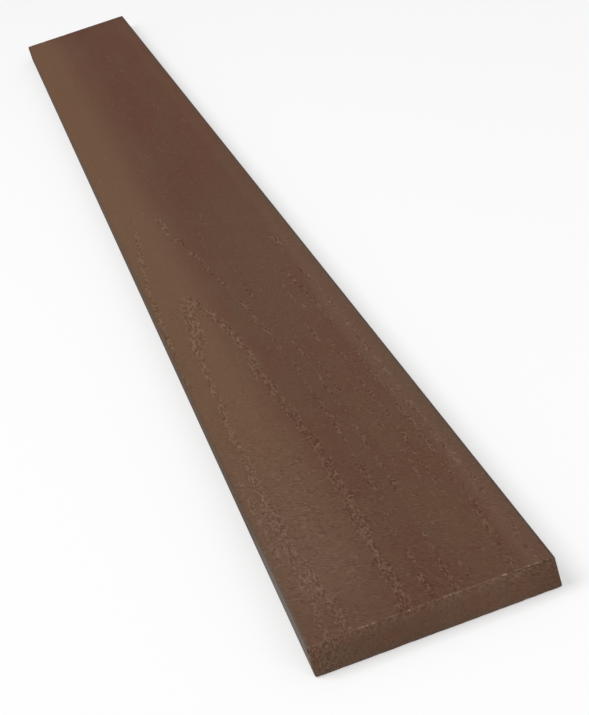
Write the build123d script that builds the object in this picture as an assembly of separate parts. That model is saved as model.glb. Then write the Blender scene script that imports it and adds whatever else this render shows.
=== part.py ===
"""A composite fence board, sold as straight stock.

The board is one extruded length of wood-plastic composite, solid through its thickness. The die gives
it a flat rectangular section with four eased corners, and a saw cuts it square at both ends. It lies on
its back: X runs across the width, Y along the length from the near end to the far end, and Z up through
the thickness. The origin is at the middle of the back, on the floor.
"""

import os

from build123d import *

# Driving dimensions, in millimetres
BOARD_WIDTH = 139.7  # across the face, the real width of a nominal 6 inch board
BOARD_THICKNESS = 19.05  # from the back to the show face, the real thickness of a nominal 1 inch board
BOARD_LENGTH = 1828.8  # between the sawn ends, 6 feet
EASED_CORNER_RADIUS = 1.2  # rounding that the die leaves along each long edge
SAWN_EDGE_BREAK = 0.5  # bevel where the sawn ends meet the faces

# The rounding and the bevel always leave some flat face between them
CORNER_RADIUS = min(EASED_CORNER_RADIUS, 0.45 * min(BOARD_THICKNESS, BOARD_WIDTH))
END_BREAK = min(SAWN_EDGE_BREAK, 0.5 * CORNER_RADIUS)


def die_section():
    """The board's cross-section, standing on the floor line: a rectangle with its corners eased."""
    with BuildSketch(Plane.XZ) as section:
        with Locations((0, BOARD_THICKNESS / 2)):
            RectangleRounded(BOARD_WIDTH, BOARD_THICKNESS, CORNER_RADIUS)
    return section.sketch


def fence_board():
    """The section drawn out to the board's length, with the edges of both sawn ends broken."""
    blank = extrude(die_section(), amount=BOARD_LENGTH / 2, both=True)
    sawn_ends = blank.faces().filter_by(Axis.Y)
    return chamfer(sawn_ends.edges(), END_BREAK)


def main():
    os.makedirs("parts", exist_ok=True)
    board = fence_board()
    board.label = "fence_board"
    export_step(board, "parts/fence_board.step")


main()
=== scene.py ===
"""The looks of a composite fence board, lying on its back on a pale floor.

One closed mesh stands for the board: its cross-section carried from the near sawn end to the far one, with
the wood grain pressed into the show face and the back. Millimetres are turned into metres where the mesh
is made. Across is measured from the board's left edge, along from its near end and up from the floor.
"""
import math

import bpy
import numpy as np
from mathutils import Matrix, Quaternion, Vector


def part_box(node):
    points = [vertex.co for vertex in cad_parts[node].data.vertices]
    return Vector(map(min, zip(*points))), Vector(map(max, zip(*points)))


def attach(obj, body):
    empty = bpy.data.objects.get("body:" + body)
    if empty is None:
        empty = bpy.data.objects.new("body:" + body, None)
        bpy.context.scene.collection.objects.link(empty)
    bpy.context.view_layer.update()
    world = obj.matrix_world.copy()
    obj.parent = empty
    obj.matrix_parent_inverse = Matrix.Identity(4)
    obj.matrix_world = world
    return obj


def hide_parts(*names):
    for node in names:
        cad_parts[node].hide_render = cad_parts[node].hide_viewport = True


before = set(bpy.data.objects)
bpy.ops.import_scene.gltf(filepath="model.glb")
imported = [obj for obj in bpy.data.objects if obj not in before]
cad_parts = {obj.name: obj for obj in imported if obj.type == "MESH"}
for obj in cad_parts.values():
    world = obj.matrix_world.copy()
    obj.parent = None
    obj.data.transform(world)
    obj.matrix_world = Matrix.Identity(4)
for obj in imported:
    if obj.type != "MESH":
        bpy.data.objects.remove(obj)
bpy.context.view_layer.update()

MM = 0.001

# The board's own sizes, in millimetres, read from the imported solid
BOARD_LOW, BOARD_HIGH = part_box("fence_board")
WIDTH = (BOARD_HIGH.x - BOARD_LOW.x) / MM
LENGTH = (BOARD_HIGH.y - BOARD_LOW.y) / MM
THICKNESS = (BOARD_HIGH.z - BOARD_LOW.z) / MM
EASED_RADIUS = 1.2

# How finely the mesh is cut
FACE_STRIPS = 124
BACK_STRIPS = 62
CORNER_STRIPS = 5
SIDE_STRIPS = 4
END_ROWS = (0.0, 0.15, 0.45, 1.0, 2.0, 3.5)
NEAR_PART = 640.0
NEAR_ROWS = 262
FAR_ROWS = 176
CAP_RINGS = (0.97, 0.90, 0.76, 0.52, 0.24)

# The crest of a sawn end: how far it rolls over, the share of a quarter circle that it rolls by, and how
# broad its mark is
CREST_ROLL = 0.7
ROLL_SHARE = 0.8
CREST_WIDTH = 0.9

# The saw's fraying of the crest: its depth, length and reach, its finer part, the noise at which it starts,
# and the rise to its full depth. Each end has its own row of each noise
FRAY_DEPTH = 0.45
FRAY_LENGTH = 3.2
FRAY_REACH = 0.6
FINE_FRAY_LENGTH = 0.45 * FRAY_LENGTH
FINE_FRAY_SHARE = 0.5
FRAY_START = 0.75
FRAY_RISE = 0.5
FRAY_ROWS = (3.5, 40.5)
FINE_FRAY_ROWS = (9.5, 60.5)

# The saw's marks and torn fibres on the ends: how deep, their size across and up, and the height at which
# the fibres start and the rise to their full depth
SAW_MARKS = 0.18
SAW_MARK_SIZE = (5.0, 3.0)
SAW_FIBRES = 0.22
SAW_FIBRE_SIZE = (2.3, 6.0)
FIBRES_START = 9.0
FIBRES_RISE = 8.0

# The pressed grain: how deep it is, and the pebbles of its floor, with their sizes across and along
GRAIN_DEPTH = 0.26
BACK_GRAIN_DEPTH = 0.24
SHALLOWEST = 0.15
FINE_PEBBLES = 1.1
FINE_PEBBLE_SIZE = (2.0, 4.4)
BROAD_PEBBLES = 0.6
BROAD_PEBBLE_SIZE = (4.4, 11.0)

# How far the skin must look out of a face for the grain to start on it, and the rise to full
FACING_START = 0.25
FACING_RISE = 0.6

# The far rings join the drawn lines from this far along, and are full after the rise
FAR_RINGS_START = 760.0
FAR_RINGS_RISE = 240.0

# A drawn line of grain: the spacing of the readings that round its corners, how far past its ends it runs
# out, and how far it strays to the side over what length
CORNER_ROUNDING = 9.0
RUN_OUT = 8.0
LINE_STRAY = 1.8
LINE_STRAY_LENGTH = 21.0

# A pressed band: the share of its half width that is full, and the length of its dots and its gaps
BAND_CORE = 0.45
DOT_LENGTH = 6.5
GAP_LENGTH = 48.0
GAP_RISE = 0.2

# Ragged edges of the bands: their size, the least factor on the width, and what noise adds
LINE_EDGE = ((2.0, 5.0), 0.5, 1.0)
RING_EDGE = ((2.2, 6.0), 0.55, 0.9)

# Dots: their width, the noise at which they start, and the rise to full
LINE_DOTS = (6.0, 0.32, 0.22)
RING_DOTS = (5.0, 0.28, 0.26)

# Steps through a noise, and through the seeds, from one line or ring to the next
STRAY_STEP = 3.7
DOT_STEP = 5.1
GAP_STEP = 7.3
SEEDS_A_LINE = 4
SEEDS_A_RING = 3
FIRST_RING_SEED = 20

# Flat-sawn rings, in millimetres: how far they stray slowly and quickly, the length over which the heart's
# swing dies out, how far left of it they crowd, and the hyperbola of its height, past the bow and before
SLOW_STRAY = 3.2
SLOW_STRAY_SIZE = (40.0, 85.0)
QUICK_STRAY = 1.3
QUICK_STRAY_SIZE = (14.0, 26.0)
SWING_LENGTH = 900.0
CROWDED_REACH = 33.0
HEART_RISES = (890.0, 400.0)
HEART_HEIGHTS = (6230.0, 2220.0)
HEART_LEVEL = 529.0
CROWN_REACH = 13.0
CROWN_BROADER = 0.7
LEAST_SLOPE = 8.0

# The torn skin of the near face: a bell round one place, and patches broken into spots, each with its size
TORN_MIDDLE = (26.0, 150.0)
TORN_REACH = (26.0, 130.0)
TORN_PATCH_SIZE = (22.0, 70.0)
TORN_SPOT_SIZE = (9.0, 30.0)
TORN_PATCHES = 0.9
TORN_START = 0.30
TORN_RISE = 0.35

# How many points a noise has each way before it repeats
NOISE_POINTS = 256


def ease(t):
    """Cubic ease from 0 to 1: three t squared less two t cubed, with t held between 0 and 1."""
    t = np.clip(t, 0.0, 1.0)
    return t * t * (3.0 - 2.0 * t)


def soft_noise(u, v, seed):
    """Random numbers from 0 to 1 at the whole-number points of (u, v), eased from each to the next."""
    lattice = np.random.default_rng(seed).random((NOISE_POINTS, NOISE_POINTS))
    u0, v0 = np.floor(u).astype(int), np.floor(v).astype(int)
    fu, fv = ease(u - u0), ease(v - v0)
    left, right = u0 % NOISE_POINTS, (u0 + 1) % NOISE_POINTS
    low, high = v0 % NOISE_POINTS, (v0 + 1) % NOISE_POINTS
    below = lattice[left, low] * (1 - fu) + lattice[right, low] * fu
    above = lattice[left, high] * (1 - fu) + lattice[right, high] * fu
    return below * (1 - fv) + above * fv


def lumps(across, along, size, seed):
    """Soft noise whose lumps measure the size given, in millimetres across and along."""
    return soft_noise(across / size[0], along / size[1], seed)


def drawn_line(stations, along):
    """Where a drawn line of grain lies across the board and how strongly it is pressed, at each place.

    Both are read straight between the stations. The place across is the mean of three readings a little
    apart, which rounds the corners off. Past its ends the line runs out."""
    places, across, strength = np.array(stations).T
    shifts = (-CORNER_ROUNDING, 0.0, CORNER_ROUNDING)
    centre = sum(np.interp(along + shift, places, across) for shift in shifts) / len(shifts)
    strength = np.interp(along, places, strength)
    reaches = ease((along - places[0]) / RUN_OUT + 1.0) * ease((places[-1] - along) / RUN_OUT + 1.0)
    return centre, strength * reaches


def band(off, half_width):
    """How strongly a band is pressed at a distance off its line, from 1 to 0.

    It is full to a share of the half width, its core, and eases out over one half width more."""
    return 1.0 - ease(off / half_width - BAND_CORE)


def ragged(across, along, edge, seed):
    """A factor on a band's half width: the edge's least, and what a noise of its size adds."""
    size, least, more = edge
    return least + more * lumps(across, along, size, seed)


def dots(across, along, number, dotted, shape, seed):
    """1 in the dots of a band, and less between them by how dotted it is, from a quick noise of its own."""
    width, start, rise = shape
    quick = soft_noise(along / DOT_LENGTH, number * DOT_STEP + across / width, seed)
    return 1.0 - dotted * (1.0 - ease((quick - start) / rise))


def drawn_bands(lines, across, along, seed):
    """How strongly the drawn lines of grain are pressed at each point, from 0 to 1: the strongest there.

    A band is full at its line and eases out to its half width, which a noise makes ragged. The line
    strays to the side by a slow noise along it, and a quick one breaks it into dots."""
    pressed = np.zeros_like(across)
    for number, (half_width, dotted, stations) in enumerate(lines):
        own = seed + SEEDS_A_LINE * number
        centre, strength = drawn_line(stations, along)
        own_row = np.full_like(across, number * STRAY_STEP)
        stray = LINE_STRAY * (soft_noise(along / LINE_STRAY_LENGTH, own_row, own) - 0.5)
        off = np.abs(across + stray - centre)
        own_band = band(off, half_width * ragged(across, along, LINE_EDGE, own + 1))
        broken = dots(across, along, number, dotted, LINE_DOTS, own + 2)
        pressed = np.maximum(pressed, strength * own_band * broken)
    return pressed


class Rings:
    """Flat-sawn rings: where their heart lies, how they open along the board, and which of them are cut."""

    def __init__(self, heart, swing, bow, rings, seed, crowding):
        self.heart = heart
        self.swing = swing
        self.bow = bow
        self.rings = rings
        self.seed = seed
        self.crowding = crowding

    def field(self, across, along):
        """The ring number under each point, how fast it changes, and how far off the heart line it is.

        The number is the sideways distance from the heart line, squared, plus the height of the heart
        over the face, a hyperbola along the board that is lowest at the bow. The heart line swings to one
        side as it goes away, and the rings are crowded on its left by a sixth power of the distance."""
        stray = SLOW_STRAY * (lumps(across, along, SLOW_STRAY_SIZE, self.seed) - 0.5)
        stray += QUICK_STRAY * (lumps(across, along, QUICK_STRAY_SIZE, self.seed + 1) - 0.5)
        heart = self.heart + self.swing * np.exp(-along / SWING_LENGTH)
        side = across + stray - heart
        left = np.clip(-side, 0.0, None)
        reach = np.where(side > 0, side, left + self.crowding * (left / CROWDED_REACH) ** 6)
        beyond = along > self.bow
        rise = np.where(beyond, *HEART_RISES)
        height = np.where(beyond, *HEART_HEIGHTS)
        t = (along - self.bow) / rise
        root = np.sqrt(1.0 + t * t)
        level = reach ** 2 + height * (root - 1.0) - HEART_LEVEL
        slope = np.hypot(2.0 * reach, height / rise * t / root)
        return level, slope, side

    def bands(self, across, along):
        """How strongly the grain is pressed at each point, from 0 to 1: the strongest of the rings there.

        A ring is a band round one ring number, broader round the crown of its arch. A slow noise along
        the board opens gaps in it, and a quick one breaks it into dots."""
        level, slope, side = self.field(across, along)
        crown = np.exp(-(side / CROWN_REACH) ** 2)
        slope = np.hypot(slope, LEAST_SLOPE)
        pressed = np.zeros_like(level)
        for number, (ring_level, half_width, strength, gaps, dotted) in enumerate(self.rings):
            own = self.seed + FIRST_RING_SEED + SEEDS_A_RING * number
            off = np.abs(level - ring_level) / slope
            broader = half_width * (1.0 + CROWN_BROADER * crown)
            own_band = band(off, broader * ragged(across, along, RING_EDGE, own))
            slow = soft_noise(along / GAP_LENGTH, np.full_like(across, number * GAP_STEP), own + 1)
            full = ease((slow - gaps) / GAP_RISE + 0.5) if gaps > 0 else 1.0
            broken = dots(across, along, number, dotted, RING_DOTS, own + 2)
            pressed = np.maximum(pressed, strength * own_band * full * broken)
        return pressed


# The arch of the near half and the lines beside it. Each line: half its width, how dotted it is, and its
# stations from the near end: millimetres along, millimetres across, and how strongly it is pressed
NEAR_LINES = (
    (3.4, 0.1, ((-5, 57.5, 1.0), (50, 57.5, 1.0), (90, 58, 0.8), (130, 60.5, 1.0), (175, 60.5, 1.0),
        (205, 60.5, 0.8), (235, 60, 0.9), (270, 58, 0.9), (300, 57, 1.0), (340, 55, 1.0), (380, 52, 1.0),
        (430, 52, 0.9), (470, 49.5, 1.0), (495, 47.5, 0.7), (515, 44, 0.6), (540, 39.5, 0.8),
        (565, 35.5, 1.0), (585, 31, 0.8))),
    (5.3, 0.25, ((458, 18.5, 0.6), (475, 21.5, 0.85), (495, 24, 0.85), (520, 26, 0.85), (550, 27, 0.85),
        (575, 28, 0.7), (592, 28.5, 0.2))),
    (3.3, 0.25, ((-5, 23.5, 1.0), (20, 22.5, 1.0), (50, 20.5, 0.9), (80, 18, 1.0), (110, 15.5, 1.0),
        (150, 15, 1.0), (190, 15, 1.0), (230, 15, 0.7), (255, 15.5, 0.3))),
    (2.5, 0.35, ((215, 15, 0.5), (240, 15.5, 0.9), (270, 15.5, 0.8), (310, 15.5, 0.9), (340, 16.5, 1.0),
        (360, 18, 0.8), (400, 18, 0.8), (425, 18, 0.9), (458, 19, 1.0))),
    (2.0, 0.4, ((-5, 13, 1.0), (30, 13, 0.9), (60, 13, 0.9), (90, 12.5, 0.8), (115, 12, 0.3))),
    (1.8, 0.8, ((100, 8, 0.6), (140, 7, 0.8), (190, 6, 0.8), (260, 5.5, 0.6))),
    (2.1, 0.5, ((390, 3, 0.4), (440, 3, 0.5), (500, 3.5, 0.6), (560, 4, 0.6), (640, 7, 0.6),
        (680, 9, 0.8), (700, 10.5, 1.0), (730, 12, 1.0), (748, 14, 0.4), (778, 16, 1.0), (792, 17, 0.4),
        (860, 23, 0.5))),
    (1.8, 0.85, ((-5, 72.5, 0.9), (28, 72.5, 0.9), (42, 73, 0.4), (78, 73.5, 0.5), (98, 75, 0.1),
        (125, 76.5, 0.6), (150, 77, 0.8), (190, 77.5, 0.7), (212, 78, 0.1), (238, 78.5, 0.9),
        (265, 79, 1.0), (300, 78.5, 0.9), (325, 77, 0.7), (350, 76.5, 0.7), (390, 76, 0.4),
        (415, 73.5, 0.7), (430, 73.5, 0.5), (445, 73.5, 0.9), (470, 71.5, 0.8), (492, 71, 0.9),
        (510, 68.5, 0.7), (535, 67.5, 0.9), (552, 67, 0.2), (580, 64.5, 0.7), (605, 62, 0.5),
        (622, 60, 1.0), (640, 58.5, 1.0), (670, 56, 1.0), (692, 53, 1.0), (712, 52, 0.5),
        (732, 51.5, 1.0), (745, 48, 1.0), (757, 43.5, 0.9), (776, 43, 0.4), (795, 44, 1.0),
        (810, 43, 1.0), (832, 38, 0.3), (862, 29, 0.6))),
    (1.5, 0.9, ((-5, 85, 0.7), (15, 85.5, 0.9), (45, 86, 0.6), (90, 87, 0.2), (120, 88.5, 0.6),
        (150, 89, 0.7), (200, 88, 0.6), (250, 89, 0.7), (290, 88, 0.7), (315, 87, 0.9), (352, 87, 0.7),
        (368, 86.5, 0.2), (385, 86, 0.9), (412, 85.5, 0.9), (450, 84, 0.1), (490, 82, 0.4),
        (515, 80, 0.2), (538, 78.5, 1.0), (572, 77.5, 0.5))),
    (1.4, 0.9, ((540, 87, 0.3), (555, 86.5, 0.8), (575, 85, 0.3), (592, 83, 0.7), (603, 78, 0.2),
        (618, 74, 0.6))),
    (1.3, 0.9, ((-5, 95, 0.4), (28, 95, 0.5), (60, 95, 0.1), (95, 96, 0.6), (135, 96, 0.7),
        (168, 96, 0.5), (230, 96, 0.2), (290, 94, 0.5), (312, 93.5, 0.7), (350, 93, 0.5),
        (382, 92, 0.5))),
    (1.3, 0.85, ((100, 104.5, 0.4), (145, 105, 0.6), (170, 105, 0.4), (200, 104.5, 0.7), (240, 103, 0.4),
        (285, 104, 0.6), (320, 103, 0.4), (350, 102, 0.1), (402, 101.5, 0.6), (428, 101.5, 0.7),
        (470, 102, 0.1), (526, 104, 0.6), (546, 104, 0.9))),
    (1.5, 0.9, ((-5, 113, 0.3), (95, 112, 0.2), (125, 111, 0.6), (145, 111, 0.8), (172, 110.5, 0.6),
        (190, 111, 0.9), (215, 112, 1.0), (245, 111.5, 0.8), (262, 111, 0.3), (282, 110, 0.7),
        (302, 110.5, 0.8), (328, 110, 0.2), (355, 110, 0.9), (392, 109, 0.7), (430, 109, 0.1),
        (468, 108, 0.6), (495, 108, 0.8), (525, 108.5, 0.2), (572, 110, 0.6), (602, 114, 0.5))),
    (1.7, 0.8, ((-5, 119, 0.5), (30, 120, 0.5), (62, 120, 0.6), (90, 121.5, 0.6), (122, 121.5, 0.6),
        (155, 121.5, 0.6), (185, 121, 0.9), (228, 121, 0.95), (262, 121, 0.5), (300, 120.5, 0.9),
        (348, 120, 0.9), (372, 119, 0.4), (398, 117.5, 1.0), (412, 117.5, 0.9), (440, 117, 0.9),
        (456, 117, 0.2), (470, 117, 0.9), (490, 117, 1.0), (517, 116, 0.7), (545, 113.5, 0.9),
        (567, 113, 0.6))),
    (1.7, 0.75, ((-5, 132, 0.7), (35, 131.5, 0.7), (55, 131, 0.3), (92, 130, 0.4), (120, 130, 0.7),
        (150, 129.5, 0.8), (180, 128.5, 0.9), (215, 128.5, 1.0), (258, 128, 0.8), (300, 128, 0.8),
        (345, 128, 1.0), (380, 127, 0.9), (428, 127, 1.0), (452, 126.5, 0.8), (502, 126, 0.5),
        (560, 124, 0.7), (590, 123, 0.2), (618, 122.5, 0.5), (650, 121.5, 1.0), (674, 120.5, 0.7))),
    (1.6, 0.5, ((756, 76.5, 0.7), (795, 78, 0.7))),
    (1.6, 0.8, ((700, 66, 0.4), (720, 68, 0.5), (782, 66, 0.4))),
    (1.6, 0.5, ((888, 59, 0.5), (905, 58, 0.7), (930, 56, 0.5))),
    (2.8, 0.4, ((-5, 72, 0.6), (28, 72.5, 0.6), (40, 73, 0.3))),
    (1.9, 0.4, ((8, 85, 0.6), (34, 85.5, 0.6), (46, 86, 0.3))),
    (3.0, 0.6, ((-5, 117, 0.45), (40, 119, 0.5), (90, 121, 0.5), (112, 122, 0.3))),
    (2.4, 0.1, ((735, 51.5, 0.8), (742, 47, 1.0), (749, 43, 0.8))),
    (2.6, 0.1, ((786, 42.5, 0.6), (800, 44, 1.0), (812, 43, 0.8))),
    (2.8, 0.1, ((696, 10, 0.7), (714, 12, 1.0), (734, 13, 0.7))),
)

# Where the near crest shows pale dashes, partly saw fraying and partly a painted highlight: millimetres
# across, and how strongly
CREST_FRAY_AND_GLINT = (
    (0, 0.4), (3, 0.6), (5, 0.9), (10, 0.9), (11, 0.3), (13, 0.6), (15, 0.5), (17, 0.15), (25, 0.15),
    (27, 0.5), (29, 0.2), (31, 0.6), (38, 0.55), (40, 0.15), (43, 0.4), (46, 0.1), (50, 0.35), (53, 0.2),
    (57, 0.7), (63, 0.7), (65, 0.15), (75, 0.1), (78, 0.6), (85, 0.6), (88, 0.15), (92, 0.4), (97, 0.4),
    (99, 0.8), (104, 0.8), (106, 0.5), (109, 0.6), (111, 1.0), (113, 0.9), (115, 0.2), (117, 0.8),
    (119, 0.7), (120.5, 0.3), (122, 0.7), (124, 0.4), (125, 0.9), (127, 0.9), (129, 0.2), (132, 0.4),
    (136, 0.35), (139, 0.1),
)

# The rings of the far half and of the back. Each ring: its number, half its width in millimetres, how
# strongly it is pressed, its share of gaps, and how dotted it is
FAR_RINGS = Rings(heart=26.0, swing=14.0, bow=215.0, seed=11, crowding=9.0, rings=(
    (1120.0, 1.9, 0.5, 0.35, 0.6),
    (2050.0, 1.5, 0.42, 0.45, 0.8),
    (2950.0, 1.4, 0.38, 0.5, 0.8),
    (4300.0, 1.4, 0.40, 0.48, 0.8),
    (5300.0, 1.5, 0.42, 0.45, 0.8),
    (6800.0, 1.5, 0.42, 0.45, 0.8),
    (8300.0, 1.7, 0.46, 0.42, 0.7),
    (10300.0, 1.4, 0.38, 0.48, 0.8),
))

BACK_RINGS = Rings(heart=38.0, swing=-9.0, bow=420.0, seed=71, crowding=7.0, rings=(
    (60.0, 3.4, 0.9, 0.0, 0.15),
    (900.0, 3.0, 0.7, 0.35, 0.3),
    (1900.0, 2.6, 0.6, 0.42, 0.5),
    (3100.0, 2.4, 0.55, 0.45, 0.5),
    (4500.0, 2.5, 0.6, 0.42, 0.5),
    (6000.0, 2.4, 0.55, 0.45, 0.5),
    (7700.0, 2.6, 0.6, 0.42, 0.5),
))


def side_and_face(strips):
    """Half of the cross-section, from the middle of the left side up and over the face to the right side.

    Straight runs are joined by quarter circles of the eased radius. Each point has its place across and
    up, and the way out of the board there. The face is cut into the given number of strips, and the right
    side is the left one mirrored."""
    r = EASED_RADIUS
    side = np.linspace(THICKNESS / 2, THICKNESS - r, SIDE_STRIPS // 2 + 1)[:-1]
    turn = np.linspace(0.0, math.pi / 2, CORNER_STRIPS + 1)[:-1]
    face = np.linspace(r, WIDTH - r, strips + 1)
    left_side = np.stack([0 * side, side, 0 * side - 1, 0 * side])
    cosine, sine = np.cos(turn), np.sin(turn)
    left_turn = np.stack([r - r * cosine, THICKNESS - r + r * sine, -cosine, sine])
    left = np.concatenate([left_side, left_turn], axis=1)
    over = np.stack([face, 0 * face + THICKNESS, 0 * face, 0 * face + 1])
    across, up, out_x, out_z = left[:, ::-1]
    right = np.stack([WIDTH - across, up, -out_x, out_z])
    return np.concatenate([left, over, right], axis=1)


def section():
    """The board's cross-section as a closed loop that starts at the middle of the left side.

    The upper half goes over the show face to the middle of the right side. The lower half is the same
    shape turned over, with fewer strips, and comes back under the board."""
    upper = side_and_face(FACE_STRIPS)
    across, up, out_x, out_z = side_and_face(BACK_STRIPS)[:, 1:-1][:, ::-1]
    lower = np.stack([across, THICKNESS - up, out_x, -out_z])
    return np.concatenate([upper, lower], axis=1), upper.shape[1]


def row_places():
    """Distances along the board at which the section is drawn.

    They are close together at both ends, fine over the near part, whose grain is the roughest, and
    coarser beyond it."""
    ends = np.array(END_ROWS)
    near = np.linspace(ends[-1], NEAR_PART, NEAR_ROWS)
    far = np.linspace(NEAR_PART, LENGTH - ends[-1], FAR_ROWS)
    return np.concatenate([ends[:-1], near[:-1], far, LENGTH - ends[:-1][::-1]])


def facing(out):
    """1 where the skin looks straight out of the face, easing to 0 where the section turns to a side."""
    return ease((out - FACING_START) / FACING_RISE)


def band_floor(across, along):
    """How deep the floor of a pressed band is, as a share: a least depth, and fine and broad pebbles."""
    fine = lumps(across, along, FINE_PEBBLE_SIZE, seed=5)
    broad = lumps(across, along, BROAD_PEBBLE_SIZE, seed=6)
    return SHALLOWEST + FINE_PEBBLES * fine + BROAD_PEBBLES * broad


def rolled_depth(from_end):
    """How far the crest of a sawn end is rolled into the board: a share of the rest of a quarter circle."""
    rolled = np.clip(1.0 - from_end / CREST_ROLL, 0.0, 1.0)
    return CREST_ROLL * (1.0 - np.sqrt(1.0 - rolled ** 2)) * ROLL_SHARE


def frayed_depth(across, along, from_end):
    """How deep the crest is frayed: where two noises along it add up high, dying out from the end."""
    near = along < LENGTH / 2
    fray = soft_noise(across / FRAY_LENGTH, np.where(near, *FRAY_ROWS), seed=8)
    fray += FINE_FRAY_SHARE * soft_noise(across / FINE_FRAY_LENGTH, np.where(near, *FINE_FRAY_ROWS), seed=9)
    return FRAY_DEPTH * ease((fray - FRAY_START) / FRAY_RISE) * np.exp(-from_end / FRAY_REACH)


def crest_mark(across, along, from_end):
    """How strongly the crest shows pale dashes of fraying and painted highlight: the drawn strengths, from
    the left of either end, in a bell along.
    """
    own_side = np.where(along < LENGTH / 2, across, WIDTH - across)
    return np.exp(-(from_end / CREST_WIDTH) ** 2) * np.interp(own_side, *np.array(CREST_FRAY_AND_GLINT).T)


def fades(value, start, rise, by):
    """1 up to the start, and less by the amount given once the value is a rise past it."""
    return 1.0 - by * ease((value - start) / rise)


def torn_area(across, along):
    """How rough the face is between the bands: a tall bell near the near end, left, and small patches.

    The patches fade from the arch on, and are fainter right of the middle."""
    off_across = (across - TORN_MIDDLE[0]) / TORN_REACH[0]
    off_along = (along - TORN_MIDDLE[1]) / TORN_REACH[1]
    bell = np.exp(-off_across ** 2 - off_along ** 2)
    patches = lumps(across, along, TORN_PATCH_SIZE, seed=15) * lumps(across, along, TORN_SPOT_SIZE, seed=16)
    near = fades(along, start=450.0, rise=300.0, by=0.8) * fades(across, start=50.0, rise=12.0, by=0.6)
    return np.clip(bell + TORN_PATCHES * near * ease((patches - TORN_START) / TORN_RISE), 0.0, 1.0)


def board_surface():
    """The board's skin on a grid of rows along it and points round it, and the grain pressed into it.

    Every point of the section moves straight into the board by the depth there: the pressed bands, the
    rolled crest of the sawn ends and the fraying along it. The marks say how strongly each point is
    pressed and torn, and how strongly the crest shows pale dashes of fraying and painted highlight, for the
    material."""
    (across, up, out_x, out_z), upper_count = section()
    x, y = np.meshgrid(across, row_places())
    show = facing(out_z)
    far_bands = FAR_RINGS.bands(x, y) * ease((y - FAR_RINGS_START) / FAR_RINGS_RISE)
    show_bands = np.maximum(drawn_bands(NEAR_LINES, x, y, seed=101), far_bands) * show
    back_bands = BACK_RINGS.bands(WIDTH - x, LENGTH - y) * facing(-out_z)
    depth = (GRAIN_DEPTH * show_bands + BACK_GRAIN_DEPTH * back_bands) * band_floor(x, y)
    from_end = np.minimum(y, LENGTH - y)
    depth += rolled_depth(from_end)
    depth += frayed_depth(x, y, from_end)
    place = np.stack([x - out_x * depth, y, up - out_z * depth], axis=-1)
    marks = {
        "emboss": np.maximum(show_bands, back_bands),
        "crest": crest_mark(x, y, from_end),
        "torn": torn_area(x, y) * show,
    }
    return place, marks, upper_count


def end_cap(rim, inward):
    """Rings drawn from the rim of a sawn end in towards its middle line.

    The middle line has the rim's own places across, held back by half the thickness from each side. A
    ring is the rim moved part of the way to it, with its short sides rounded more and more, as the square
    root of one less the height squared. The saw leaves the end a little uneven, always inwards, with
    upright torn fibres that are deepest near the crest."""
    middle = THICKNESS / 2
    held = np.clip(rim[:, 0], middle, WIDTH - middle)
    high = np.abs(rim[:, 2] - middle) / middle
    rings = []
    for share in CAP_RINGS:
        ring = rim.copy()
        rounded = np.sqrt(1.0 - (1.0 - share) * high ** 2)
        ring[:, 0] = held + (rim[:, 0] - held) * share * rounded
        ring[:, 2] = middle + (rim[:, 2] - middle) * share
        across, up = ring[:, 0], ring[:, 2]
        fibres = lumps(across, up, SAW_FIBRE_SIZE, seed=33) * ease((up - FIBRES_START) / FIBRES_RISE)
        ring[:, 1] += inward * (SAW_MARKS * lumps(across, up, SAW_MARK_SIZE, seed=31) + SAW_FIBRES * fibres)
        rings.append(ring)
    return rings


def cap_faces(outer, inner, inward):
    """Quads between two loops that have as many points as each other."""
    quads = np.stack([outer, np.roll(outer, -1), np.roll(inner, -1), inner], axis=1)
    return (quads if inward < 0 else quads[:, ::-1]).tolist()


def zip_closed(loop, across, count, inward):
    """Triangles that close a flat loop whose upper and lower halves both run from left to right.

    Each step of one half is joined to the point of the other half that has as many of its steps behind
    it, so the two halves are zipped together like teeth."""
    upper = np.arange(count)
    lower = np.concatenate([[0], np.arange(len(loop) - 1, count - 1, -1), [count - 1]])
    upper_middles = (across[upper[:-1]] + across[upper[1:]]) / 2
    lower_middles = (across[lower[:-1]] + across[lower[1:]]) / 2
    under = lower[np.searchsorted(lower_middles, upper_middles, side="left")]
    over = upper[np.searchsorted(upper_middles, lower_middles, side="right")]
    above = np.stack([loop[upper[:-1]], loop[upper[1:]], loop[under]], axis=1)
    below = np.stack([loop[lower[1:]], loop[lower[:-1]], loop[over]], axis=1)
    faces = np.concatenate([above, below])
    proper = (faces[:, 0] != faces[:, 1]) & (faces[:, 1] != faces[:, 2]) & (faces[:, 0] != faces[:, 2])
    faces = faces[proper]
    return (faces if inward < 0 else faces[:, ::-1]).tolist()


def make_mesh(name, points, faces, attributes):
    """A mesh from points in metres and faces, smoothly shaded, with one value per point for each name."""
    mesh = bpy.data.meshes.new(name)
    mesh.from_pydata(points.tolist(), [], faces)
    for label, values in attributes.items():
        layer = mesh.attributes.new(label, "FLOAT", "POINT")
        layer.data.foreach_set("value", np.ascontiguousarray(values, np.float32))
    mesh.polygons.foreach_set("use_smooth", np.ones(len(mesh.polygons), bool))
    mesh.validate()
    mesh.update()
    piece = bpy.data.objects.new(name, mesh)
    bpy.context.scene.collection.objects.link(piece)
    return piece


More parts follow.
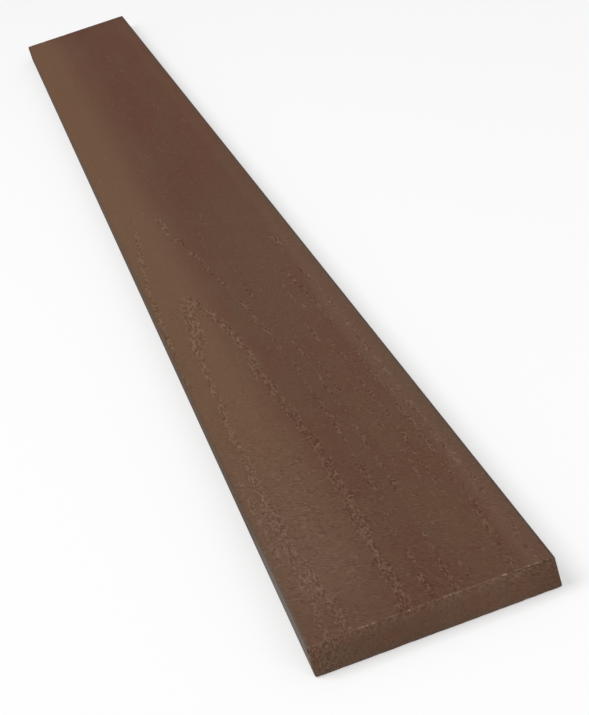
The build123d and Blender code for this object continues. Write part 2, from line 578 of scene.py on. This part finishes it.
def make_board():
    """The skin's grid closed round the board, and a cap on each sawn end."""
    place, marks, count = board_surface()
    rows, columns = place.shape[:2]
    index = np.arange(rows * columns).reshape(rows, columns)
    after = np.roll(index, -1, axis=1)
    faces = np.stack([index[:-1], after[:-1], after[1:], index[1:]], axis=-1).reshape(-1, 4).tolist()
    points = [place.reshape(-1, 3)]
    total = rows * columns
    for row, inward in ((0, 1.0), (rows - 1, -1.0)):
        outer = index[row]
        for ring in end_cap(place[row], inward):
            inner = total + np.arange(columns)
            total += columns
            faces += cap_faces(outer, inner, inward)
            points.append(ring)
            outer = inner
        faces += zip_closed(outer, points[-1][:, 0], count, inward)
    points = np.concatenate(points)
    points = points * MM + np.array(BOARD_LOW)
    caps = np.zeros(total - rows * columns)
    return make_mesh("board", points, faces, {
        label: np.concatenate([values.ravel(), caps]) for label, values in marks.items()})


# Places of the colour sockets on a Mix node
MIX_FIRST, MIX_SECOND, MIX_RESULT = 6, 7, 2


class Nodes:
    """Puts nodes into a tree in a few words."""

    def __init__(self, tree):
        self.tree = tree

    def node(self, kind, inputs=None, **settings):
        """A new node of the kind given, with its settings made and its inputs filled."""
        made = self.tree.nodes.new(kind)
        for label, value in settings.items():
            setattr(made, label, value)
        for socket, value in (inputs or {}).items():
            self.put(made.inputs[socket], value)
        return made

    def put(self, socket, value):
        """Joins an input to another node's output, or gives it a plain value."""
        if isinstance(value, bpy.types.NodeSocket):
            self.tree.links.new(value, socket)
        else:
            socket.default_value = value

    def math(self, operation, a, b=0.0, c=0.0):
        """One step of arithmetic on up to three values."""
        return self.node("ShaderNodeMath", {0: a, 1: b, 2: c}, operation=operation).outputs[0]

    def times(self, first, *others):
        """The product of all the values given."""
        for value in others:
            first = self.math("MULTIPLY", first, value)
        return first

    def added(self, total, value, factor=1.0):
        """A total with a value added to it, times a factor."""
        return self.math("MULTIPLY_ADD", value, factor, total)

    def between(self, share, start, end):
        """The start where the share is 0, the end where it is 1, and straight between them elsewhere."""
        joined = isinstance(start, bpy.types.NodeSocket)
        step = self.math("SUBTRACT", end, start) if joined else end - start
        return self.added(start, share, step)

    def ramp(self, value, low, high):
        """0 below low and 1 above high, eased between. Low may be the greater, which turns it round."""
        flip = low > high
        made = self.node("ShaderNodeMapRange", {
            "Value": value, "From Min": min(low, high), "From Max": max(low, high),
            "To Min": 1.0 if flip else 0.0, "To Max": 0.0 if flip else 1.0},
            interpolation_type="SMOOTHSTEP")
        return made.outputs[0]

    def mix(self, share, first, second):
        """The first colour where the share is 0, and the second where it is 1."""
        made = self.node("ShaderNodeMix", {"Factor": share, MIX_FIRST: first, MIX_SECOND: second},
                         data_type="RGBA")
        return made.outputs[MIX_RESULT]

    def vectors(self, operation, inputs):
        """One step of arithmetic on colours, channel by channel."""
        return self.node("ShaderNodeVectorMath", inputs, operation=operation).outputs[0]

    def tint(self, colour, factors):
        """A colour with its red, green and blue each made more or less by a factor."""
        return self.vectors("MULTIPLY", {0: colour, 1: factors})

    def shade(self, colour, factor):
        """A colour made lighter or darker by a factor."""
        return self.vectors("SCALE", {0: colour, "Scale": factor})

    def veil(self, colour, thin, share):
        """A colour with a share of a thin paler one laid over it, or taken off if it is under 0."""
        return self.vectors("ADD", {0: colour, 1: self.shade(thin, share)})


class Shader(Nodes):
    """A material's nodes, which know the place on the piece and have noises of real sizes."""

    def __init__(self, name):
        self.material = bpy.data.materials.new(name)
        self.material.use_nodes = True
        super().__init__(self.material.node_tree)
        self.surface = self.tree.nodes["Principled BSDF"]
        self.place = self.node("ShaderNodeTexCoord").outputs["Object"]

    def noise(self, size, detail=2.0, rough=0.5, distort=0.0, turn=None):
        """Noise from 0 to 1 whose grains measure about the size given, in millimetres along X, Y and Z.

        The whole pattern is first turned about X, Y and Z by the angles in turn, in radians."""
        place = self.place
        if turn:
            place = self.node("ShaderNodeMapping", {"Vector": place, "Rotation": turn}).outputs[0]
        scale = tuple(1.0 / (MM * length) for length in size)
        made = self.node("ShaderNodeTexNoise", {
            "Vector": self.node("ShaderNodeMapping", {"Vector": place, "Scale": scale}).outputs[0],
            "Scale": 1.0, "Detail": detail, "Roughness": rough, "Distortion": distort})
        return made.outputs["Fac"]

    def patches(self, size, low, high, detail=2.0, rough=0.5):
        """Patches of noise: 0 where it is under low, 1 where it is over high, and eased between."""
        return self.ramp(self.noise(size, detail, rough), low, high)

    def strokes(self, size, detail=1.0, turn=None):
        """Pale and dark strokes from -0.5 to 0.5, in equal shares, of the size given."""
        grains = self.noise(size, detail, distort=STROKE_BEND, turn=turn)
        return self.math("SUBTRACT", self.ramp(grains, *STROKE_EDGES), 0.5)


class BoardShader(Shader):
    """The board's nodes, which know zones of it in millimetres from its middle and from the floor."""

    def __init__(self, name):
        super().__init__(name)
        self.x, self.y, self.z = self.node("ShaderNodeSeparateXYZ", {0: self.place}).outputs
        self.to_side = self.math("ABSOLUTE", self.x)
        self.to_end = self.math("ABSOLUTE", self.y)

    def mark(self, name):
        """A mark of the mesh's points."""
        return self.node("ShaderNodeAttribute", attribute_name=name).outputs["Fac"]

    def zone(self, place, low, high):
        """0 where a place is under low and 1 where it is over high. Low may be the greater."""
        return self.ramp(place, low * MM, high * MM)

    def across(self, low, high):
        """0 left of low and 1 right of high."""
        return self.zone(self.x, low, high)

    def along(self, low, high):
        """0 nearer than low and 1 farther than high."""
        return self.zone(self.y, low, high)

    def up(self, low, high):
        """0 under low and 1 over high."""
        return self.zone(self.z, low, high)


HALF_WIDTH = WIDTH / 2
HALF_LENGTH = LENGTH / 2

# Browns and greys, in linear red, green and blue
REDDISH_BROWN = (0.122, 0.060, 0.038, 1.0)
OLIVE_BROWN = (0.121, 0.066, 0.041, 1.0)
YELLOWISH_LIT_BROWN = (0.152, 0.0845, 0.0495, 1.0)
DULL_BROWN = (0.147, 0.084, 0.055, 1.0)
MARGIN_BROWN = (0.146, 0.0835, 0.0555, 1.0)
# The arris's grey-brown is a painted reflection of the pale floor, at the near left
ARRIS_REFLECTION_BROWN = (0.130, 0.090, 0.069, 1.0)
SIDE_BROWN = (0.135, 0.093, 0.070, 1.0)
# A painted reflection of the pale floor on the side, strongest at the near left
REFLECTED_GREY = (0.20, 0.173, 0.150, 1.0)
SAWN_BROWN = (0.152, 0.0805, 0.0515, 1.0)
SAWN_OLIVE = (0.145, 0.0870, 0.0580, 1.0)
# Pale crest dashes: partly frayed fibres, partly a painted highlight
FRAYED_AND_GLINT_BROWN = (0.30, 0.20, 0.145, 1.0)
# A pale veil, laid on or taken off. On the face's strokes and tears it is painted highlight and painted
# shade
STROKE_VEIL = (0.086, 0.062, 0.044)

# Factors on red, green and blue
FAR_WARMTH = (1.02, 0.955, 0.915)
FAR_REDNESS = (0.95, 0.89, 0.89)
OUTERMOST_TINT = (0.965, 1.045, 1.085)
# Painted shade on the eased long edges
EASED_SHADE_TINT = (0.80, 0.88, 0.95)
FOOT_TINT = (0.94, 1.03, 1.09)

# Patterns of noise: the size across, along and up in millimetres, how much detail, and how rough
STREAKS = ((26, 420, 26), 3.0, 0.55)
FINE_STREAKS = ((5, 160, 5), 3.0, 0.6)
REFLECTION_PATCHES = ((5, 34, 5), 4.0, 0.65)
DIE_LINES = ((0.9, 90, 0.9), 3.0, 0.6)
HAIRS = ((0.45, 5.5, 0.45), 2.0, 0.6)
RAGGED_EDGE = ((2.6, 6.0, 2.6), 2.0, 0.6)
SAW_LINES = ((60, 60, 0.8), 2.0, 0.6)

# Patches: the size, the noise at which they start and are full, how much detail, and how rough
BLOTCHES = ((34, 120, 34), 0.40, 0.62, 3.0, 0.6)
TUFTS = ((5.0, 9.0, 5.0), 0.38, 0.62)
FLECKS = ((1.2, 4.2, 1.2), 0.64, 0.74, 1.0)
END_PATCHES = ((15, 15, 11), 0.42, 0.60)
PITS = ((0.55, 0.55, 0.55), 0.60, 0.70, 1.5)
CREST_DASHES = ((2.6, 9.0, 9.0), 0.47, 0.60, 2.0, 0.65)

# Strokes: the size, how much detail, and the turn about X, Y and Z in radians
SHORT_STROKES = ((1.3, 4.0, 1.3), 1.0)
LONG_STROKES = ((1.75, 7.5, 1.75), 0.0)
SPECKS = ((0.8, 1.5, 0.8), 0.0)
TEARS = ((1.1, 3.3, 1.1), 1.5, (0.0, 0.0, -0.65))
UPRIGHT_FIBRES = ((0.9, 0.9, 2.0), 2.0)
LEANING_FIBRES = ((0.85, 0.85, 1.7), 2.0, (0.0, -0.46, 0.0))
LYING_FIBRES = ((0.9, 0.9, 3.0), 2.0, (0.0, 1.0, 0.0))
SAW_TURN = (0.0, 0.28, 0.0)
STROKE_BEND = 0.3
STROKE_EDGES = (0.34, 0.66)

# Zones along the board, from its middle: where each starts and where it is full
SAWN_END = (HALF_LENGTH - 0.9, HALF_LENGTH - 0.1)
HANDLED_END = (HALF_LENGTH - 75, HALF_LENGTH)
NEAR_END = (90 - HALF_LENGTH, -HALF_LENGTH)
REFLECTION_END = (200 - HALF_LENGTH, 60 - HALF_LENGTH)
YELLOWISH = (-900, -700)
WIDER_MARGIN_STARTS = (-720, -600)
BEYOND_THE_BELL = (-720, -620)
LONGER_STROKES = (-680, -380)
DRIFTED = (-600, 100)
WIDER_MARGIN_ENDS = (-320, -460)
REDDENED = (-280, 0)
WARMED = (-200, 500)
FLECKED = (-150, -400)
STRONGER_MARGIN = (50, -450)

# Zones across the board, from its middle
LONG_EDGE = (HALF_WIDTH - 0.6, HALF_WIDTH - 0.1)
EASED_EDGE = (HALF_WIDTH - 2.6, HALF_WIDTH - 0.9)
OUTERMOST = (HALF_WIDTH - 8, HALF_WIDTH - 3.5)
MARGIN = (HALF_WIDTH - 11, HALF_WIDTH - 4.5)
THINNED_MARGIN = (HALF_WIDTH - 11, HALF_WIDTH - 4)
END_DARKER = (HALF_WIDTH - 22, HALF_WIDTH - 3)
END_RIGHT = (HALF_WIDTH - 55, HALF_WIDTH - 25)
END_LEFT = (30 - HALF_WIDTH, 14 - HALF_WIDTH)
LEFT_BAND = (26 - HALF_WIDTH, 12 - HALF_WIDTH)
LEFT_PART = (6, -27)
REFLECTION_SIDE = (0, -10)
REDDENED_SIDE = (-15, 0)
FLECKED_SIDE = (-8, 12)
END_LIGHTER = (-4, 10)
DULLER_CREST = (28, 42)
STRIP_MIDDLE = 12.5
STRIP = (17, 8)

# Zones up the sawn ends, from the floor
END_FOOT = (4.5, 1.5)
LYING_HEIGHT = (4, 12)
UNDER_CREST = (11.5, 18)
NEAR_CREST = (THICKNESS - 6, THICKNESS - 1)

# How far edges of colour drift or wander to the side, and how askew the yellowish part starts
LEFT_DRIFT = 9 * MM
LEFT_WANDERING = 22 * MM
MARGIN_WANDERING = 14 * MM
MARGIN_WIDENING = 5 * MM
YELLOWISH_SKEW = 2.0

# Factors on a brown, where a pattern or a zone is nothing and where it is full
STREAK_TONES = (0.94, 1.06)
HAIR_TONES = (0.92, 1.08)
FINE_STREAK_TONES = (0.95, 1.05)
STRIP_TONES = (1.0, 0.965)
HANDLED_TONES = (1.0, 0.96)
DIE_LINE_TONES = (0.78, 1.22)
# Painted shade in the pits of the sawn ends
PIT_SHADE_TONES = (1.02, 0.78)
SAW_LINE_TONES = (0.90, 1.10)

# Shares of a colour or a stroke, where its zone is nothing and where it is full
LEFT_SHARE = (1.0, 0.45)
MARGIN_SHARE = (0.20, 0.68)
THINNED_SHARE = (1.0, 0.55)
OLIVE_SHARE = (0.20, 0.84)
SHORT_SHARE = (1.0, 0.55)
LONG_SHARE = (0.10, 1.00)
SPECK_SHARE = (0.50, 0.25)
TORN_SHARE = (0.44, 1.06)
TUFT_SHARE = (0.35, 1.65)

# The painted reflection of the pale floor on the side and arris at the near left, and the ragged edge of
# the pressed bands
REFLECTION_MORE = 0.75
REFLECTION_EDGES = (0.50, 1.10)
RAGGEDNESS = 0.7
PRESSED_EDGES = (0.50, 0.90)

# How much of the pale veil the strokes, tears, flecks and floors of the bands lay on. On the strokes and
# tears it is painted highlight and painted shade of the pebbled relief
STROKE_CONTRAST = (0.60, 0.50)
LEFT_CONTRAST = 0.14
PALE_STROKES = 0.28
TEAR_CONTRAST = 0.35
PALE_TEARS = 0.16
PALE_FLECKS = 0.50
PALE_FLOOR = 0.07
PALE_LEFT_FLOOR = (0.12, 0.04)

# The sawn ends: how rough the fibres are, and how light the brown is. The rise towards the crest is painted
# light, which leaves the foot darker as painted shade
FIBRE_ROUGHNESS = (0.22, 0.82)
LEFT_ROUGHNESS = 0.40
RIGHT_ROUGHNESS = 0.22
END_LIGHT = 0.94
PAINTED_CREST_LIGHT = (0.17, 0.08)
RIGHT_LIGHT = 0.10
LEFT_LIGHT = 0.05
EDGE_LIGHT = -0.15

# Gloss
FACE_ROUGHNESS = (0.66, 0.78)
SAWN_ROUGHNESS = 0.85
SPECULAR_LEVEL = 0.02

# Heights of the finest relief, in millimetres
STROKE_HEIGHT = 0.32
TEAR_HEIGHT = 0.22
FLECK_HEIGHT = 0.12
HAIR_HEIGHT = 0.05
DIE_LINE_HEIGHT = 0.25
FIBRE_HEIGHT = 0.25
SAW_LINE_HEIGHT = 0.15
PIT_HEIGHT = -0.12


def plain_face(s, streaks):
    """The brown of the face: patches of redder and greener brown, and a lighter, yellowish left part,
    partly the board's own colour and partly painted light from the left.

    The left part's edge wanders with the streaks and drifts to the left on the way to the far end. The
    part fades near the near end."""
    base = s.mix(s.patches(*BLOTCHES), REDDISH_BROWN, OLIVE_BROWN)
    reddened = s.times(s.along(*REDDENED), s.across(*REDDENED_SIDE))
    base = s.mix(reddened, base, s.tint(base, FAR_REDNESS))
    drifting = s.added(s.x, s.along(*DRIFTED), LEFT_DRIFT)
    # The lighter left part is partly the board's own colour and partly a painted broad sheen of light from
    # the left
    left_part = s.zone(s.added(drifting, streaks, LEFT_WANDERING), *LEFT_PART)
    yellowish = s.zone(s.added(s.y, s.x, YELLOWISH_SKEW), *YELLOWISH)
    left_brown = s.mix(yellowish, DULL_BROWN, YELLOWISH_LIT_BROWN)
    fading = s.between(s.along(*NEAR_END), *LEFT_SHARE)
    return s.mix(s.times(left_part, fading), base, left_brown)


def right_margin(s, base, streaks):
    """The duller margin along the right edge, stronger over the near half and wider along its middle.

    Its edge wanders with the streaks, it thins towards the arris, and its outermost part is greener."""
    strength = s.between(s.along(*STRONGER_MARGIN), *MARGIN_SHARE)
    wider = s.times(s.along(*WIDER_MARGIN_STARTS), s.along(*WIDER_MARGIN_ENDS))
    wandering = s.added(s.added(s.x, streaks, MARGIN_WANDERING), wider, MARGIN_WIDENING)
    thinned = s.between(s.across(*THINNED_MARGIN), *THINNED_SHARE)
    base = s.mix(s.times(strength, s.zone(wandering, *MARGIN), thinned), base, MARGIN_BROWN)
    return s.mix(s.across(*OUTERMOST), base, s.tint(base, OUTERMOST_TINT))


def edges_and_sides(s, base, long_edge, die_lines):
    """Eased edges with painted shade, and sides the die lined; both get a painted reflection at the near
    left.
    """
    eased = s.zone(s.to_side, *EASED_EDGE)
    # Painted shade on the eased edges, where they turn away from the face
    base = s.mix(eased, base, s.tint(base, EASED_SHADE_TINT))
    near_left = s.times(s.along(*REFLECTION_END), s.across(*REFLECTION_SIDE))
    # A painted reflection of the pale floor on the side and arris, strongest at the near left
    reflected = s.ramp(s.added(s.noise(*REFLECTION_PATCHES), near_left, REFLECTION_MORE), *REFLECTION_EDGES)
    base = s.mix(s.times(eased, reflected), base, ARRIS_REFLECTION_BROWN)
    side_brown = s.mix(reflected, SIDE_BROWN, REFLECTED_GREY)
    return s.mix(long_edge, base, s.shade(side_brown, s.between(die_lines, *DIE_LINE_TONES)))


def brown_tone(s, streaks, fine_streaks, hairs):
    """How light the brown is: streaks, hairs and fine streaks, a darker strip, and darker handled ends."""
    from_strip = s.math("ABSOLUTE", s.math("SUBTRACT", s.x, STRIP_MIDDLE * MM))
    tones = ((streaks, STREAK_TONES), (hairs, HAIR_TONES), (fine_streaks, FINE_STREAK_TONES),
             (s.zone(from_strip, *STRIP), STRIP_TONES), (s.zone(s.to_end, *HANDLED_END), HANDLED_TONES))
    return s.times(*(s.between(share, *limits) for share, limits in tones))


def grain_strokes(s, pressed):
    """Pale and dark strokes in the pressed bands, short by the near end and longer from the arch on."""
    longer = s.along(*LONGER_STROKES)
    grains = s.times(s.strokes(*SHORT_STROKES), s.between(longer, *SHORT_SHARE))
    grains = s.added(grains, s.strokes(*LONG_STROKES), s.between(longer, *LONG_SHARE))
    grains = s.added(grains, s.strokes(*SPECKS), s.between(longer, *SPECK_SHARE))
    return s.times(grains, pressed)


def torn_skin(s):
    """Fine tears that lie askew, in tufts, and are strongest where the mesh is marked as torn."""
    torn = s.between(s.mark("torn"), *TORN_SHARE)
    return s.times(s.strokes(*TEARS), torn, s.between(s.patches(*TUFTS), *TUFT_SHARE))


def pale_flecks(s):
    """Small pale flecks right of the middle, over the near part."""
    return s.times(s.patches(*FLECKS), s.times(s.along(*FLECKED), s.across(*FLECKED_SIDE)))


def relief_shading_and_flecks(s, pressed, grains, tearing, flecks):
    """How much of the pale veil the strokes, tears and flecks lay on the face, or take off it. On the
    strokes and tears this is painted highlight and painted shade of the pebbles.

    The pale side of the strokes and tears counts for more than the dark one, and the floor of a band is
    a little paler by itself. Both differ in the band by the left edge."""
    left_band = s.across(*LEFT_BAND)
    beyond = s.along(*BEYOND_THE_BELL)
    contrast = s.between(s.along(*NEAR_END), *STROKE_CONTRAST)
    contrast = s.added(contrast, s.times(left_band, beyond), LEFT_CONTRAST)
    relief = s.added(s.times(grains, contrast), s.math("MAXIMUM", grains, 0.0), PALE_STROKES)
    relief = s.added(relief, tearing, TEAR_CONTRAST)
    relief = s.added(relief, s.math("MAXIMUM", tearing, 0.0), PALE_TEARS)
    relief = s.added(relief, flecks, PALE_FLECKS)
    pale_floor = s.added(PALE_FLOOR, left_band, s.between(beyond, *PALE_LEFT_FLOOR))
    return s.added(relief, pressed, pale_floor)


def sawn_fibres(s, end_left):
    """Torn fibres of the sawn ends, roughest near the crest and at both sides.

    They lean right at the left side, stand upright in the middle and lie over at the right."""
    end_right = s.across(*END_RIGHT)
    fibres = s.between(end_left, s.strokes(*UPRIGHT_FIBRES), s.strokes(*LEANING_FIBRES))
    fibres = s.between(end_right, fibres, s.strokes(*LYING_FIBRES))
    roughness = s.between(s.up(*NEAR_CREST), *FIBRE_ROUGHNESS)
    roughness = s.added(roughness, end_left, LEFT_ROUGHNESS)
    roughness = s.added(roughness, s.times(end_right, s.up(*LYING_HEIGHT)), RIGHT_ROUGHNESS)
    return s.times(fibres, roughness)


def sawn_brown(s, end_left, pits, saw_lines, tone):
    """The brown of the sawn ends: in patches, greener at the foot, and paler towards the crest by painted
    light, which leaves painted shade at the foot.

    It is paler on the right half and at the left side, and darker by the right edge. The pits are painted
    dark, as shade in them, and the saw's lines make fine bands."""
    brown = s.mix(s.between(s.patches(*END_PATCHES), *OLIVE_SHARE), SAWN_BROWN, SAWN_OLIVE)
    brown = s.mix(s.up(*END_FOOT), brown, s.tint(brown, FOOT_TINT))
    # Painted light: the end is made paler towards the crest, and so darker towards the foot
    painted_crest_light = s.between(s.across(*DULLER_CREST), *PAINTED_CREST_LIGHT)
    end_lightness = s.added(END_LIGHT, s.up(*UNDER_CREST), painted_crest_light)
    for where, light in ((s.across(*END_LIGHTER), RIGHT_LIGHT), (end_left, LEFT_LIGHT),
                         (s.across(*END_DARKER), EDGE_LIGHT)):
        end_lightness = s.added(end_lightness, where, light)
    end_lightness = s.times(end_lightness, s.between(pits, *PIT_SHADE_TONES), s.between(saw_lines, *SAW_LINE_TONES), tone)
    return s.shade(brown, end_lightness)


def composite_material():
    """Wood-plastic composite: brown, with long streaks, pebbled where the grain is pressed in."""
    s = BoardShader("composite_brown")
    sawn = s.zone(s.to_end, *SAWN_END)
    long_edge = s.zone(s.to_side, *LONG_EDGE)
    streaks = s.noise(*STREAKS)
    fine_streaks = s.noise(*FINE_STREAKS)
    hairs = s.noise(*HAIRS)
    die_lines = s.noise(*DIE_LINES)

    base = right_margin(s, plain_face(s, streaks), streaks)
    base = edges_and_sides(s, base, long_edge, die_lines)
    base = s.mix(s.along(*WARMED), base, s.tint(base, FAR_WARMTH))
    tone = brown_tone(s, streaks, fine_streaks, hairs)
    base = s.shade(base, tone)

    pressed = s.ramp(s.added(s.mark("emboss"), s.noise(*RAGGED_EDGE), RAGGEDNESS), *PRESSED_EDGES)
    grains = grain_strokes(s, pressed)
    tearing = torn_skin(s)
    flecks = pale_flecks(s)
    # Painted highlight and painted shade of the pebbled strokes and tears, with pale flecks, laid on as a
    # veil
    base = s.veil(base, STROKE_VEIL, relief_shading_and_flecks(s, pressed, grains, tearing, flecks))

    end_left = s.across(*END_LEFT)
    fibres = sawn_fibres(s, end_left)
    pits = s.patches(*PITS)
    saw_lines = s.noise(*SAW_LINES, turn=SAW_TURN)
    end_brown = s.veil(sawn_brown(s, end_left, pits, saw_lines, tone), STROKE_VEIL, fibres)
    base = s.mix(sawn, base, end_brown)

    # The crest shows short pale dashes, partly frayed fibres and partly a painted highlight, and here and
    # there none
    base = s.mix(s.times(s.mark("crest"), s.patches(*CREST_DASHES)), base, FRAYED_AND_GLINT_BROWN)
    s.put(s.surface.inputs["Base Color"], base)

    rough = s.math("MAXIMUM", s.between(fine_streaks, *FACE_ROUGHNESS), s.times(sawn, SAWN_ROUGHNESS))
    s.put(s.surface.inputs["Roughness"], rough)
    s.surface.inputs["Specular IOR Level"].default_value = SPECULAR_LEVEL

    # Heights of the face, of the sawn ends and of the sides
    height = s.times(grains, STROKE_HEIGHT)
    for pattern, tall in ((tearing, TEAR_HEIGHT), (flecks, FLECK_HEIGHT), (hairs, HAIR_HEIGHT)):
        height = s.added(height, pattern, tall)
    cut = s.added(s.times(saw_lines, SAW_LINE_HEIGHT), fibres, FIBRE_HEIGHT)
    height = s.added(height, s.added(cut, pits, PIT_HEIGHT), sawn)
    height = s.added(height, s.times(die_lines, long_edge), DIE_LINE_HEIGHT)
    bump = s.node("ShaderNodeBump", {"Height": height, "Distance": MM, "Strength": 1.0})
    s.put(s.surface.inputs["Normal"], bump.outputs[0])
    return s.material


board = make_board()
board.data.materials.append(composite_material())
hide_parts("fence_board")
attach(board, "root")


# The studio: the floor's reach, height and grey, how much white the camera sees in it near the board, and
# the distances over which that grows to the whole
FLOOR_REACH = 9.0
FLOOR_DROP = -0.0003
FLOOR_GREY = (0.50, 0.50, 0.50, 1.0)
WHITE = (1.0, 1.0, 1.0, 1.0)
WHITE_SHARE = 0.45
WHITENING = (1.3, 3.6)
FLOOR_ROUGHNESS = 0.9
ROOM_LEVEL = 0.43

# Each lamp: its place, what it faces, its size and its watts
LAMPS = {
    "key_lamp": ((-2.5, 0.2, 4.1), (0.0, 0.0, 0.0), 3.0, 128.0),
    "fill_lamp": ((1.0, -4.5, 1.5), (0.0, -0.9, 0.0), 2.4, 70.0),
}

# The photo's viewpoint
CAMERA_PLACE = (-0.1200, -1.7809, 0.5214)
CAMERA_AIM = (0.0147, -0.4791, 0.0)
CAMERA_ROLL = math.radians(-17.30)
SENSOR_HEIGHT = 36.0
LENS = 96.16


def sees_white(nodes):
    """1 for camera, glossy and transmission rays, which see the studio as white, and 0 for all others."""
    path = nodes.node("ShaderNodeLightPath")
    seen = path.outputs["Is Camera Ray"]
    for ray in ("Is Glossy Ray", "Is Transmission Ray"):
        seen = nodes.math("MAXIMUM", seen, path.outputs[ray])
    return seen


def make_floor():
    """A flat square far larger than the board. The camera sees it as white, with the board's soft shadow.

    The share of white grows to the whole with the distance from the board."""
    corners = [(-1, -1), (1, -1), (1, 1), (-1, 1)]
    points = np.array([(a * FLOOR_REACH, b * FLOOR_REACH, FLOOR_DROP) for a, b in corners])
    floor = make_mesh("floor", points, [[0, 1, 2, 3]], {})
    s = Shader("pale_floor")
    seen = sees_white(s)
    s.put(s.surface.inputs["Base Color"], s.mix(seen, FLOOR_GREY, WHITE))
    s.surface.inputs["Roughness"].default_value = FLOOR_ROUGHNESS
    s.surface.inputs["Specular IOR Level"].default_value = 0.0
    white = s.node("ShaderNodeEmission", {"Color": WHITE, "Strength": 1.0})
    distance = s.node("ShaderNodeVectorMath", {0: s.place}, operation="LENGTH").outputs["Value"]
    share = s.between(s.ramp(distance, *WHITENING), WHITE_SHARE, 1.0)
    soft = s.node("ShaderNodeMixShader", {
        0: s.times(seen, share), 1: s.surface.outputs[0], 2: white.outputs[0]})
    s.put(s.tree.nodes["Material Output"].inputs["Surface"], soft.outputs[0])
    floor.data.materials.append(s.material)


def make_world():
    """An even grey room for the light, which is seen as white."""
    world = bpy.data.worlds.new("room")
    bpy.context.scene.world = world
    world.use_nodes = True
    n = Nodes(world.node_tree)
    level = n.node("ShaderNodeMapRange", {"Value": sees_white(n), "To Min": ROOM_LEVEL, "To Max": 1.0})
    back = n.tree.nodes["Background"]
    n.put(back.inputs["Strength"], level.outputs[0])
    n.put(back.inputs["Color"], WHITE)


def make_lamp(name, place, aim, size, watts):
    """A large square soft lamp, turned to face its aim."""
    lamp = bpy.data.lights.new(name, "AREA")
    lamp.shape = "SQUARE"
    lamp.size = size
    lamp.energy = watts
    holder = bpy.data.objects.new(name, lamp)
    holder.location = place
    holder.rotation_euler = (Vector(aim) - Vector(place)).to_track_quat("-Z", "Y").to_euler()
    bpy.context.scene.collection.objects.link(holder)


def make_camera():
    """The photo's viewpoint: past the near end, a little to the left, looking down and along the board."""
    data = bpy.data.cameras.new("camera")
    data.sensor_fit = "VERTICAL"
    data.sensor_height = SENSOR_HEIGHT
    data.lens = LENS
    holder = bpy.data.objects.new("camera", data)
    look = (Vector(CAMERA_AIM) - Vector(CAMERA_PLACE)).to_track_quat("-Z", "Y")
    holder.rotation_mode = "QUATERNION"
    holder.rotation_quaternion = look @ Quaternion((0.0, 0.0, 1.0), CAMERA_ROLL)
    holder.location = CAMERA_PLACE
    bpy.context.scene.collection.objects.link(holder)
    bpy.context.scene.camera = holder


make_floor()
make_world()
for lamp_name, settings in LAMPS.items():
    make_lamp(lamp_name, *settings)
make_camera()
bpy.context.scene.view_settings.view_transform = "Standard"

bpy.context.view_layer.update()
